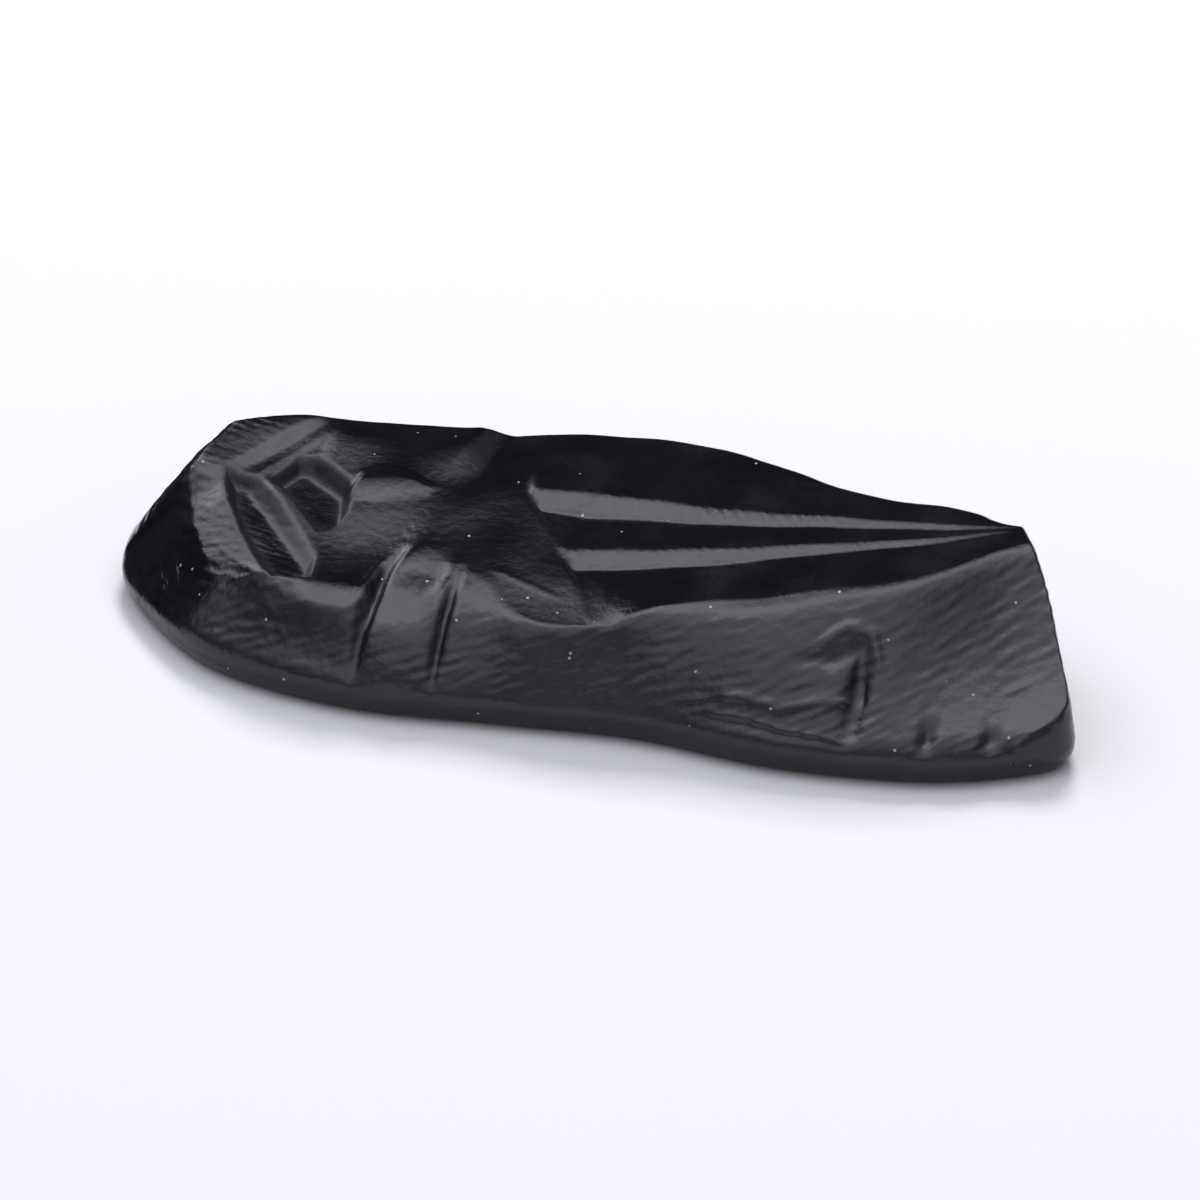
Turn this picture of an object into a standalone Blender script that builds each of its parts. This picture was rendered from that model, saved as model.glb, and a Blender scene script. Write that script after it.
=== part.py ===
"""A moulded salted licorice boat, built as one closed solid.

The candy lies flat on its base with its relief up. The stern is at -X, the bow at +X and
starboard at -Y. The top is a height over the plan: walls that lean in from the outline, and
between them the relief of a planked deck, a coaming and a cockpit. The shape is worked out in
millimetres, and written in metres about the middle of its bounding box.
"""
import bmesh
import bpy
import numpy as np

NAME = "licorice_boat"
MM = 0.001
MIDDLE = (-0.263, 0.074)

# Plan: the widest line, anticlockwise from the forward end of the bow
OUTLINE = (
    (18.6, -3.5), (17.95, -1.2), (16.6, 2.0), (14.9, 4.3), (12.5, 5.15), (8.6, 5.45), (2.4, 7.5),
    (-4.6, 7.4), (-11.2, 6.25), (-16.4, 5.15), (-18.85, 2.8), (-18.97, -0.6), (-17.4, -3.2),
    (-13.6, -6.3), (-8.0, -7.5), (-2.2, -7.0), (2.9, -6.55), (8.2, -7.05), (13.4, -6.5), (16.9, -5.1),
)
CURVE_STEPS = 48
LINE_STEP = 4
BOW = (19, 23)
PORT = (3, 10)
STARBOARD = (10, 19)
FORWARD_END = (24.0, -4.6)
CORNERS = (19, 3, 8, 12)

# Side: the widest line, the rounding above it and the turn under it
EDGE_HEIGHT = 0.95
EDGE_ROUND = 1.3
BASE_INSET = 0.8
BASE_RINGS = 3

# Walls along the hull: height over inset, the inset at which a wall ends, how much steeper it is at
# its foot than at its top, and how widely it rounds over into the deck
STARBOARD_X = (-18.0, -15.0, -13.0, -11.5, -8.2, -7.0, -4.5, -2.8, -1.0, 1.0, 3.0, 7.0, 11.0, 14.0, 16.5)
STARBOARD_SLOPE = (1.4, 1.4, 1.42, 1.95, 2.1, 1.3, 1.25, 1.55, 2.5, 3.1, 1.98, 1.29, 1.1, 0.95, 0.84)
STARBOARD_INSET = (3.0, 2.3, 2.0, 1.45, 1.6, 3.1, 3.0, 2.2, 1.4, 1.2, 1.8, 3.1, 4.2, 5.4, 6.5)
STARBOARD_BULGE = (0.0, 0.0, -0.1, -0.3, -0.3, 0.4, 0.5, 0.35, 0.1, 0.1, 0.3, 0.45, 0.1, -0.3, -0.35)
STARBOARD_BLEND = (0.5, 0.5, 0.5, 0.5, 0.5, 1.3, 1.3, 0.7, 0.5, 0.5, 0.5, 0.5, 0.5, 0.5, 0.5)
PORT_X = (-16.0, -12.0, -8.0, 14.0)
PORT_SLOPE = (1.9, 2.3, 2.6, 2.7)
PORT_INSET = 2.0
PORT_BULGE = 0.3
NOSE_SLOPE = 5.0
NOSE_INSET = 1.1
NOSE_BULGE = 0.4
NOSE_BLEND = 0.5

# Deck: three planks, each lapped a little higher to port, that run forward to one tip and rise
TIP = (15.8, 2.1)
DECK_START = -1.2
DECK_LOW = 4.6
DECK_HIGH = 6.6
DECK_TILT = 0.07
TILT_LINE = 1.0
TILT_FROM = -5.0
TILT_OVER = 8.0
LAPS = ((-2.4, 0.42, 0.5), (0.85, 0.44, 0.32))
LAP_WIDTH = 0.84
LAP_NARROW = 0.08
LAP_ROUND = 0.15
LAP_SPREAD = 8.0
LAP_BEND_SHAPE = 4.0
GROOVE_DEPTH = 0.06
GROOVE_WIDTH = 0.1
PLANK_ENDS = (
    (-3.4, 9.0), (-3.45, 1.0), (-2.6, -0.2), (-1.7, -1.5), (-0.8, -2.8), (0.3, -4.6), (0.9, -9.0),
)
END_WIDTH = 0.5

# Coaming: the line from port to starboard along which the cockpit gives way to the deck
COAMING = (
    (-6.0, 9.0), (-6.1, 4.0), (-6.5, 0.5), (-6.9, -1.6), (-7.45, -3.8), (-7.65, -6.2), (-7.8, -9.0),
)
COAMING_HALF = 0.75

# Broad dips, each a line, a half width and a rise
NECK_DIP = (((-9.0, 9.0), (-9.0, 6.2)), 5.0, -0.75)
STERN_DIP = (((-17.5, 4.5), (-16.0, 5.2)), 3.6, -0.35)
VALLEY_DIP = (((-1.8, -6.3), (0.8, -6.5)), 3.2, -0.34)

# Cockpit: its section from the near rim to the far one, and the steps down to the slots' far ends
ACROSS_Y = (-8.0, -6.8, -6.0, -5.3, -4.4, -3.4, -0.9, 1.6, 3.4, 5.2)
ACROSS_Z = (3.1, 3.45, 3.82, 4.13, 4.17, 4.32, 4.95, 5.47, 5.97, 6.1)
STEPS = (
    (((-13.15, 2.95), (-15.1, 0.55)), 0.5, 0.17, (0.5, 1.8)),
    (((-12.67, 2.04), (-13.69, 0.65)), 0.36, 0.12, (0.5, 1.6)),
)
STEP_ROUND = 0.2

# Slots and knob: corners, anticlockwise, each with the width over which the next side falls
OUTER_SLOT = (
    (-15.1, 0.3, 0.3), (-14.47, -1.33, 0.3), (-13.4, -3.0, 0.3), (-12.0, -4.7, 0.3),
    (-11.46, -5.28, 0.3), (-10.06, -4.97, 0.3), (-10.3, -3.5, 0.6), (-13.5, 0.1, 0.22),
)
INNER_SLOT = (
    (-13.3, 0.35, 0.22), (-10.63, -2.3, 0.3), (-9.99, -1.96, 0.3), (-9.83, -1.1, 0.3),
    (-10.14, 0.1, 0.3), (-10.34, 0.7, 0.4), (-11.91, 1.68, 0.3), (-12.62, 1.65, 0.22),
)
FLOOR_HEIGHT = 4.45
FLOOR_RISE = 0.14
KNOB = (
    (-10.1, -0.75, 1.1), (-8.9, -0.35, 0.22), (-7.4, -0.2, 0.6), (-6.9, 0.8, 0.5), (-8.1, 1.5, 0.5),
    (-9.2, 2.0, 0.5), (-10.15, 1.2, 0.3),
)
KNOB_HEIGHT = 5.5
SIDE_ROUND = 0.25

# Rim: it slopes outwards beside the slots, from the stern round to the near side, and falls
# more steeply beyond its width
RIM = (
    (-15.1, 2.2), (-15.1, 0.3), (-14.47, -1.33), (-13.4, -3.0), (-12.0, -4.7), (-11.46, -5.28),
    (-9.6, -5.35),
)
RIM_SLOPE = 0.577
RIM_WIDTH = 1.35
RIM_FALL = 0.5
RIM_FORWARD = -9.6
RIM_PORT = -0.8
RIM_FADE = 1.5

# Pillar: it swells from the neck on the starboard side
PILLAR = ((-6.0, -5.2), (-6.3, -9.0))
PILLAR_HALF = 1.5
PILLAR_RISE = 0.3

# Lobe: the pillar's flat shoulder, a plane through a place that fades in and out along X
LOBE_PLACE = (-6.5, -4.2, 4.28)
LOBE_SLOPE = (-0.165, 0.54)
LOBE_ALONG = (-7.7, -7.35, -6.0, -4.8)
LOBE_BLEND = 0.35

# Grooves pressed into the side, each a line, a width, a depth and the share of it at its head
NECK_SEAM = (((-7.1, -2.4), (-7.4, -3.7), (-7.6, -5.7), (-7.75, -8.6)), 0.25, 0.5, 0.0)
PILLAR_SEAM = (((-4.6, -3.7), (-4.6, -5.0), (-4.75, -8.2)), 0.2, 0.42, 0.15)
NOTCH = (((1.6, -5.4), (1.3, -6.0), (1.7, -7.4)), 0.4, 0.2, 0.6)
BOW_FOLD = (((11.15, -4.3), (11.05, -5.4), (10.95, -7.2)), 0.34, 0.3, 0.4)
FIRST_DENT = (((13.75, -5.4), (13.65, -7.0)), 0.3, 0.25, 0.0)
SECOND_DENT = (((15.95, -4.7), (15.8, -6.4)), 0.3, 0.25, 0.0)
GROOVES = (NECK_SEAM, PILLAR_SEAM, NOTCH, BOW_FOLD, FIRST_DENT, SECOND_DENT)
HEAD_LENGTH = 1.8
FOOT_FADE = 2.2

# Unevenness of the moulding: waves over the plan, each a length, a direction and a height
WAVES = ((7.3, 0.4, 0.03), (4.1, 1.9, 0.02), (2.9, 2.7, 0.015), (5.3, 1.1, 0.02))

# Mesh
LONG_QUADS = 102
CROSS_QUADS = 48
EDGE_CROWDING = 0.2
STERN_CROWDING = 0.2

COLOUR = (0.008, 0.007, 0.008, 1.0)
ROUGHNESS = 0.3


def clear_scene():
    for item in list(bpy.data.objects):
        bpy.data.objects.remove(item, do_unlink=True)


def smooth_step(t):
    t = np.clip(t, 0.0, 1.0)
    return t * t * (3.0 - 2.0 * t)


def lower_of(a, b, blend):
    """The lower of two heights, rounded over where they cross."""
    share = np.clip(0.5 + 0.5 * (b - a) / blend, 0.0, 1.0)
    return b * (1.0 - share) + a * share - blend * share * (1.0 - share)


def ramp(t, rounding):
    """Rises evenly from 0 to 1 with rounded ends."""
    return -lower_of(-lower_of(t, 1.0, rounding), 0.0, rounding)


def swell(off):
    """1 at the middle, easing to 0 where off reaches 1."""
    return np.clip(1.0 - off**2, 0.0, 1.0) ** 2


def smooth_loop(points, steps):
    """A closed smooth curve through the points."""
    here = np.array(points)
    before, after, beyond = np.roll(here, 1, 0), np.roll(here, -1, 0), np.roll(here, -2, 0)
    t = (np.arange(steps) / steps)[:, None]
    runs = []
    for a, b, c, d in zip(before, here, after, beyond):
        run = 2.0 * b + (c - a) * t + (2.0 * a - 5.0 * b + 4.0 * c - d) * t**2
        runs.append(0.5 * (run + (3.0 * b - a - 3.0 * c + d) * t**3))
    return np.concatenate(runs)


def through(at, knots, values):
    """A smooth curve through values given at knots."""
    knots, values = np.array(knots), np.array(values)
    slopes = np.gradient(values, knots)
    index = np.clip(np.searchsorted(knots, at, side="right") - 1, 0, len(knots) - 2)
    span = knots[index + 1] - knots[index]
    t = np.clip((at - knots[index]) / span, 0.0, 1.0)
    value = values[index] * (1.0 - t) ** 2 * (1.0 + 2.0 * t) + values[index + 1] * t**2 * (3.0 - 2.0 * t)
    return value + span * t * (1.0 - t) * (slopes[index] * (1.0 - t) - slopes[index + 1] * t)


def across(y, line):
    """The x of a line from port to starboard, at each y."""
    line = np.array(line)[::-1]
    return through(y, line[:, 1], line[:, 0])


def stretch(curve, ends):
    """The part of the outline from one of its points to a later one."""
    index = np.arange(ends[0] * CURVE_STEPS, ends[1] * CURVE_STEPS + 1)
    return curve[index % len(curve)]


def line_distance(x, y, line):
    """Distance of each place from a line of points."""
    nearest = np.full(x.shape, np.inf)
    for (ax, ay), (bx, by) in zip(line[:-1], line[1:]):
        run_x, run_y = bx - ax, by - ay
        share = np.clip(((x - ax) * run_x + (y - ay) * run_y) / (run_x**2 + run_y**2), 0.0, 1.0)
        nearest = np.minimum(nearest, np.hypot(x - ax - share * run_x, y - ay - share * run_y))
    return nearest


def line_off(x, y, start, end):
    """How far each place lies to the left of the line from one place to another."""
    run_x, run_y = end[0] - start[0], end[1] - start[1]
    return (run_x * (y - start[1]) - run_y * (x - start[0])) / np.hypot(run_x, run_y)


def inside_of(x, y, corners):
    """0 outside a polygon, rising over the widths of its sides' falls to 1 inside."""
    depth = np.full(x.shape, np.inf)
    for (ax, ay, fall), (bx, by, _) in zip(corners, corners[1:] + corners[:1]):
        depth = np.minimum(depth, line_off(x, y, (ax, ay), (bx, by)) / fall)
    return ramp(depth, SIDE_ROUND)


def wall(x, y, line, slope, inset, bulge):
    """A wall that leaves the widest line upright and then leans in, easing from foot to top."""
    off = line_distance(x, y, line)
    foot = slope * (1.0 + bulge)
    turned = EDGE_ROUND * (1.0 - 1.0 / np.hypot(1.0, 1.0 / foot))
    lift = EDGE_ROUND / np.hypot(1.0, foot)
    left = np.clip(EDGE_ROUND - off, 0.0, EDGE_ROUND)
    upright = np.sqrt(EDGE_ROUND**2 - left**2)
    beyond = np.maximum(off - turned, 0.0)
    below = np.minimum(beyond, inset)
    leaning = lift + foot * below - slope * bulge * below**2 / inset + slope * (beyond - below)
    return EDGE_HEIGHT + np.where(off < turned, upright, leaning)


def walls(x, y, curve):
    slope = through(x, STARBOARD_X, STARBOARD_SLOPE)
    inset = through(x, STARBOARD_X, STARBOARD_INSET)
    bulge = through(x, STARBOARD_X, STARBOARD_BULGE)
    starboard_line = np.vstack((stretch(curve, STARBOARD)[::LINE_STEP], FORWARD_END))
    starboard = wall(x, y, starboard_line, slope, inset, bulge)
    port_line = stretch(curve, PORT)[::LINE_STEP]
    port = wall(x, y, port_line, through(x, PORT_X, PORT_SLOPE), PORT_INSET, PORT_BULGE)
    nose = wall(x, y, stretch(curve, BOW)[::LINE_STEP], NOSE_SLOPE, NOSE_INSET, NOSE_BULGE)
    return lower_of(np.minimum(starboard, port), nose, NOSE_BLEND)


def deck(x, y, crisp):
    """Lapped planks; where crisp is 0 their laps spread into one smooth slope."""
    reach = np.clip((TIP[0] - x) / (TIP[0] - DECK_START), 0.0, 1.0)
    tilted = DECK_TILT * (y - TILT_LINE) * smooth_step((x - TILT_FROM) / TILT_OVER)
    height = DECK_HIGH + (DECK_LOW - DECK_HIGH + tilted) * reach
    width = LAP_NARROW + (LAP_WIDTH - LAP_NARROW) * reach
    for lap, rise, bend in LAPS:
        past = y - TIP[1] - (lap - TIP[1]) * reach + LAP_BEND_SHAPE * bend * reach * (1.0 - reach)
        sharp = ramp(past / width, LAP_ROUND)
        sharp = sharp - GROOVE_DEPTH / rise * np.exp(-((past / GROOVE_WIDTH + 0.5) ** 2))
        soft = smooth_step(0.5 + past / LAP_SPREAD)
        height = height + rise * reach * (sharp * crisp + soft * (1.0 - crisp))
    return height


def cockpit(x, y):
    """The section from side to side, with the knob, the steps, the sloping rim and the slots."""
    height = through(y, ACROSS_Y, ACROSS_Z)
    height = height + (np.maximum(height, KNOB_HEIGHT) - height) * inside_of(x, y, KNOB)
    for line, width, depth, (full, gone) in STEPS:
        fade = 1.0 - smooth_step((line_distance(x, y, line) - full) / (gone - full))
        height = height - depth * fade * ramp(line_off(x, y, *line) / width, STEP_ROUND)
    outside = np.zeros(x.shape)
    for start, end in zip(RIM[:-1], RIM[1:]):
        outside = np.maximum(outside, -line_off(x, y, start, end))
    rimmed = smooth_step((RIM_FORWARD - x) / RIM_FADE)
    rimmed = rimmed * smooth_step((RIM_PORT + RIM_FADE - y) / RIM_FADE)
    falling = RIM_SLOPE * outside + RIM_FALL * np.maximum(outside - RIM_WIDTH, 0.0)
    height = height - falling * rimmed
    for slot in (OUTER_SLOT, INNER_SLOT):
        floor = np.minimum(height, FLOOR_HEIGHT + FLOOR_RISE * y)
        height = height + (floor - height) * inside_of(x, y, slot)
    return height


def deck_and_cockpit(x, y):
    """The deck ahead of the coaming and the cockpit behind it."""
    share = smooth_step(0.5 + 0.5 * (x - across(y, COAMING)) / COAMING_HALF)
    crisp = smooth_step((x - across(y, PLANK_ENDS)) / END_WIDTH)
    height = cockpit(x, y) * (1.0 - share) + deck(x, y, crisp) * share
    for line, half, rise in (NECK_DIP, STERN_DIP, VALLEY_DIP):
        height = height + rise * swell(line_distance(x, y, line) / half)
    return height


def unevenness(x, y):
    total = np.zeros(x.shape)
    for length, direction, height in WAVES:
        along = x * np.cos(direction) + y * np.sin(direction)
        total = total + height * np.sin(2.0 * np.pi * along / length + length)
    return total


def with_lobe(x, y, height):
    """The height cut down to the lobe's plane where the pillar is."""
    aft, full_aft, full_forward, forward = LOBE_ALONG
    near = smooth_step((x - aft) / (full_aft - aft)) * smooth_step((forward - x) / (forward - full_forward))
    plane = LOBE_PLACE[2] + LOBE_SLOPE[0] * (x - LOBE_PLACE[0]) + LOBE_SLOPE[1] * (y - LOBE_PLACE[1])
    return height + (lower_of(height, plane, LOBE_BLEND) - height) * near


def relief(x, y, curve):
    """Height of the candy's top over each place of the plan."""
    blend = through(x, STARBOARD_X, STARBOARD_BLEND)
    height = lower_of(walls(x, y, curve), deck_and_cockpit(x, y), blend)
    height = with_lobe(x, y, height)
    above_edge = smooth_step(height - EDGE_HEIGHT)
    height = height + PILLAR_RISE * swell(line_distance(x, y, PILLAR) / PILLAR_HALF) * above_edge
    height = height + unevenness(x, y) * above_edge
    above_foot = smooth_step((height - EDGE_HEIGHT) / FOOT_FADE)
    for line, width, depth, start in GROOVES:
        off_head = np.hypot(x - line[0][0], y - line[0][1])
        full = start + (1.0 - start) * smooth_step(off_head / HEAD_LENGTH)
        pressed = np.exp(-((line_distance(x, y, line) / width) ** 2))
        height = height - depth * full * pressed * above_foot
    return np.maximum(height, EDGE_HEIGHT)


def along_line(line, share):
    """Places at the given shares of a line's length."""
    lengths = np.hypot(*np.diff(line, axis=0).T)
    reached = np.concatenate(([0.0], np.cumsum(lengths))) / lengths.sum()
    return np.stack((np.interp(share, reached, line[:, 0]), np.interp(share, reached, line[:, 1])), 1)


def plan_places(u, v, curve):
    """Carries the places of a square, 0 to 1 each way, to the plan inside the outline."""
    count = len(OUTLINE)
    forward, port, aft, starboard = CORNERS
    bow = stretch(curve, (forward, port + count))
    port_side = stretch(curve, (port, aft))[::-1]
    stern = stretch(curve, (aft, starboard))[::-1]
    near_side = stretch(curve, (starboard, forward))
    near, far = along_line(near_side, u), along_line(port_side, u)
    left, right = along_line(stern, v), along_line(bow, v)
    u, v = u[:, None], v[:, None]
    sides = (1.0 - v) * near + v * far + (1.0 - u) * left + u * right
    ends = (1.0 - u) * ((1.0 - v) * near_side[0] + v * port_side[0])
    return sides - ends - u * ((1.0 - v) * near_side[-1] + v * port_side[-1])


def crowded(t):
    """Moves evenly spaced shares from -1 to 1 closer together near both ends."""
    return t * (1.0 + EDGE_CROWDING - EDGE_CROWDING * t**2)


def add_top(bm, curve, long_quads, cross_quads):
    """A grid of quads laid over the plan and raised to the relief."""
    bmesh.ops.create_grid(bm, x_segments=long_quads, y_segments=cross_quads, size=1.0)
    flat = np.array([vert.co[:2] for vert in bm.verts])
    share = 0.5 + 0.5 * crowded(flat)
    along = share[:, 0] - STERN_CROWDING * share[:, 0] * (1.0 - share[:, 0])
    places = plan_places(along, share[:, 1], curve)
    heights = relief(places[:, 0], places[:, 1], curve)
    for vert, (x, y), z in zip(bm.verts, places, heights):
        vert.co = ((x - MIDDLE[0]) * MM, (y - MIDDLE[1]) * MM, z * MM)


def add_base(bm):
    """Turns the edge under in rings and closes it with a flat base."""
    edges = [edge for edge in bm.edges if edge.is_boundary]
    for ring in range(1, BASE_RINGS + 1):
        turn = 0.5 * np.pi * ring / BASE_RINGS
        before = 0.5 * np.pi * (ring - 1) / BASE_RINGS
        inset = BASE_INSET * MM * (np.cos(before) - np.cos(turn))
        height = EDGE_HEIGHT * MM * (1.0 - np.sin(turn))
        grown = bmesh.ops.extrude_edge_only(bm, edges=edges)["geom"]
        rim = [item for item in grown if isinstance(item, bmesh.types.BMVert)]
        edges = [item for item in grown if isinstance(item, bmesh.types.BMEdge) and item.is_boundary]
        inward = {}
        for vert in rim:
            ends = [edge.other_vert(vert) for edge in vert.link_edges if edge.is_boundary]
            run = ends[0].co - ends[1].co
            side = run.cross((0.0, 0.0, 1.0)).normalized()
            inward[vert] = side if side.dot(vert.co) < 0.0 else -side
        for vert, side in inward.items():
            vert.co.x += side.x * inset
            vert.co.y += side.y * inset
            vert.co.z = height
    bmesh.ops.contextual_create(bm, geom=edges)


def candy_mesh(long_quads, cross_quads):
    curve = smooth_loop(OUTLINE, CURVE_STEPS)
    bm = bmesh.new()
    add_top(bm, curve, long_quads, cross_quads)
    add_base(bm)
    bmesh.ops.recalc_face_normals(bm, faces=bm.faces)
    bmesh.ops.triangulate(bm, faces=[face for face in bm.faces if len(face.verts) > 4])
    mesh = bpy.data.meshes.new(NAME)
    bm.to_mesh(mesh)
    bm.free()
    mesh.shade_smooth()
    return mesh


def licorice():
    material = bpy.data.materials.new("licorice")
    material.use_nodes = True
    shader = material.node_tree.nodes["Principled BSDF"]
    shader.inputs["Base Color"].default_value = COLOUR
    shader.inputs["Roughness"].default_value = ROUGHNESS
    shader.inputs["Metallic"].default_value = 0.0
    return material


def build():
    clear_scene()
    collection = bpy.data.collections.new("salted_licorice_boat")
    bpy.context.scene.collection.children.link(collection)
    mesh = candy_mesh(LONG_QUADS, CROSS_QUADS)
    mesh.materials.append(licorice())
    collection.objects.link(bpy.data.objects.new(NAME, mesh))


build()
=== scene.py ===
import math

import bmesh
import bpy
import numpy as np
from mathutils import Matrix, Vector


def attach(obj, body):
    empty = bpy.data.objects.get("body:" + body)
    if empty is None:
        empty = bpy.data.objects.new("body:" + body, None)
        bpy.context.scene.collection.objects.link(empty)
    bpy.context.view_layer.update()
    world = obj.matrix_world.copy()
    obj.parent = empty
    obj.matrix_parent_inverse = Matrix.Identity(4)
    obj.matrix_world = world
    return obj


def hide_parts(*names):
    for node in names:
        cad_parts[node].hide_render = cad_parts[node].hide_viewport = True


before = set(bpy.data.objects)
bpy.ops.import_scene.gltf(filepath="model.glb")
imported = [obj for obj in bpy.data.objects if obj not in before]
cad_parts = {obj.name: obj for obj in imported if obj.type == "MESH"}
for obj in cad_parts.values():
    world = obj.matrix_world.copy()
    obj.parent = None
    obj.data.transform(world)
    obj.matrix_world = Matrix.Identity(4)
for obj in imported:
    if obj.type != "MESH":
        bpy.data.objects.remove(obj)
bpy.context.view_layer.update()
print("frame loaded, nodes:", ", ".join(sorted(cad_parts)))

# The candy's form is worked out in millimetres over its plan: stern at -x, bow at +x, starboard at -y.
# middle is the plan's place that stands at the frame's origin.
mm = 0.001
hull = {
    "middle": (-0.263, 0.074),
    "outline": (  # the widest line, anticlockwise from the forward end of the bow
        (18.6, -3.5), (17.95, -1.2), (16.6, 2.0), (14.9, 4.3), (12.5, 5.15), (8.6, 5.45), (2.4, 7.5),
        (-4.6, 7.4), (-11.2, 6.25), (-16.4, 5.15), (-18.85, 2.8), (-18.97, -0.6), (-17.4, -3.2),
        (-13.6, -6.3), (-8.0, -7.5), (-2.2, -7.0), (2.9, -6.55), (8.2, -7.05), (13.4, -6.5), (16.9, -5.1),
    ),
    "curveSteps": 48,
    "lineStep": 4,
    "bow": (19, 23),            # stretches of the outline, by its points
    "port": (3, 10),
    "starboard": (10, 19),
    "corners": (19, 3, 8, 12),  # the points where the corners of the mesh lie
    "forwardEnd": (24.0, -4.6),  # the starboard wall runs on past the bow towards here
    "edgeHeight": 0.95,
    "edgeRound": 1.3,
    "baseInset": 0.8,
    "baseRings": 6,
    "starboardBlend": (0.5, 0.5, 0.5, 0.5, 0.5, 1.3, 1.3, 0.7, 0.5, 0.5, 0.5, 0.5, 0.5, 0.5, 0.5),
    "starboardX": (-18.0, -15.0, -13.0, -11.5, -8.2, -7.0, -4.5, -2.8, -1.0, 1.0, 3.0, 7.0, 11.0, 14.0, 16.5),
    "starboardSlope": (1.4, 1.4, 1.42, 1.95, 2.1, 1.3, 1.25, 1.55, 2.5, 3.1, 1.98, 1.29, 1.1, 0.95, 0.84),
    "starboardInset": (3.0, 2.3, 2.0, 1.45, 1.6, 3.1, 3.0, 2.2, 1.4, 1.2, 1.8, 3.1, 4.2, 5.4, 6.5),
    "starboardBulge": (0.0, 0.0, -0.1, -0.3, -0.3, 0.4, 0.5, 0.35, 0.1, 0.1, 0.3, 0.45, 0.1, -0.3, -0.35),
    "portX": (-16.0, -12.0, -8.0, 14.0),
    "portSlope": (1.9, 2.3, 2.6, 2.7),
    "portInset": 2.0,
    "portBulge": 0.3,
    "noseSlope": 5.0,
    "noseInset": 1.1,
    "noseBulge": 0.4,
    "blend": 0.5,
}
deck = {
    "tip": (15.8, 2.1),
    "start": -1.2,
    "low": 4.6,
    "high": 6.6,
    "tilt": (0.07, 1.0),       # how it rises to port, and the line that it turns about
    "tiltFrom": -5.0,
    "tiltOver": 8.0,
    "laps": ((-2.4, 0.42, 0.5), (0.85, 0.44, 0.32)),  # where each plank begins, its rise and its line's bend
    "lapWidth": 0.84,
    "lapNarrow": 0.08,
    "lapRound": 0.15,
    "lapHatch": (0.28, 0.07, 0.6, 0.5, 9),  # strokes on a lap's edge: length, depth, direction, spread, count
    "spread": 8.0,             # how wide a lap is where it fades into the coaming
    "grooveDepth": 0.06,
    "grooveWidth": 0.1,
    "ends": ((-3.4, 9.0), (-3.45, 1.0), (-2.6, -0.2), (-1.7, -1.5), (-0.8, -2.8), (0.3, -4.6), (0.9, -9.0)),
    "endWidth": 0.5,
}
coaming = {
    "line": ((-6.0, 9.0), (-6.1, 4.0), (-6.5, 0.5), (-6.9, -1.6), (-7.45, -3.8), (-7.65, -6.2), (-7.8, -9.0)),
    "half": 0.75,
}
dips = {  # line, half width and rise of each broad swell or dip
    "neck": (((-9.0, 9.0), (-9.0, 6.2)), 5.0, -0.75),
    "sternCorner": (((-17.5, 4.5), (-16.0, 5.2)), 3.6, -0.35),
    "valley": (((-1.8, -6.3), (0.8, -6.5)), 3.2, -0.34),
}
cockpit = {
    "acrossY": (-8.0, -6.8, -6.0, -5.3, -4.4, -3.4, -0.9, 1.6, 3.4, 5.2),  # its section, near rim to far
    "acrossZ": (3.1, 3.45, 3.82, 4.13, 4.17, 4.32, 4.95, 5.47, 5.97, 6.1),
    "steps": (  # below the far end of the slots: line of each step, its width and depth, how far it goes on
        (((-13.15, 2.95), (-15.1, 0.55)), 0.5, 0.17, (0.5, 1.8)),
        (((-12.67, 2.04), (-13.69, 0.65)), 0.36, 0.12, (0.5, 1.6)),
    ),
    "slots": {  # each corner, anticlockwise, and how wide the side that follows it falls
        "outer": (
            (-15.1, 0.3, 0.3), (-14.47, -1.33, 0.3), (-13.4, -3.0, 0.3), (-12.0, -4.7, 0.3),
            (-11.46, -5.28, 0.3), (-10.06, -4.97, 0.3), (-10.3, -3.5, 0.6), (-13.5, 0.1, 0.22),
        ),
        "inner": (
            (-13.3, 0.35, 0.22), (-10.63, -2.3, 0.3), (-9.99, -1.96, 0.3), (-9.83, -1.1, 0.3),
            (-10.14, 0.1, 0.3), (-10.34, 0.7, 0.4), (-11.91, 1.68, 0.3), (-12.62, 1.65, 0.22),
        ),
    },
    "stepRound": 0.2,             # how much the ends of a step's fall are rounded
    "fallRound": 0.25,            # and those of the slots' and the shelf's sides
    "rim": (
        (-15.1, 2.2), (-15.1, 0.3), (-14.47, -1.33), (-13.4, -3.0), (-12.0, -4.7), (-11.46, -5.28),
        (-9.6, -5.35),
    ),
    "rimSlope": 0.577,
    "rimWidth": 1.35,
    "rimFall": 0.5,               # how much steeper it falls beyond its width
    "rimEnds": (-9.6, -0.8, 1.5),  # no rim forward of the first, none to port of the second; how it fades
    "floor": (4.45, 0.14),        # height of the slots' floor at y 0 and its rise to port
    "shelf": (
        (-10.1, -0.75, 1.1), (-8.9, -0.35, 0.22), (-7.4, -0.2, 0.6), (-6.9, 0.8, 0.5), (-8.1, 1.5, 0.5),
        (-9.2, 2.0, 0.5), (-10.15, 1.2, 0.3),
    ),
    "shelfHeight": 5.5,
}
pillar = {"line": ((-6.0, -5.2), (-6.3, -9.0)), "half": 1.5, "rise": 0.3}
lobe = {  # the pillar's flat shoulder: its plane's place and slope, and where along the hull it is
    "place": (-6.5, -4.2, 4.28),
    "slope": (-0.165, 0.54),
    "along": (-7.7, -7.35, -6.0, -4.8),
    "blend": 0.35,
}
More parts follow.
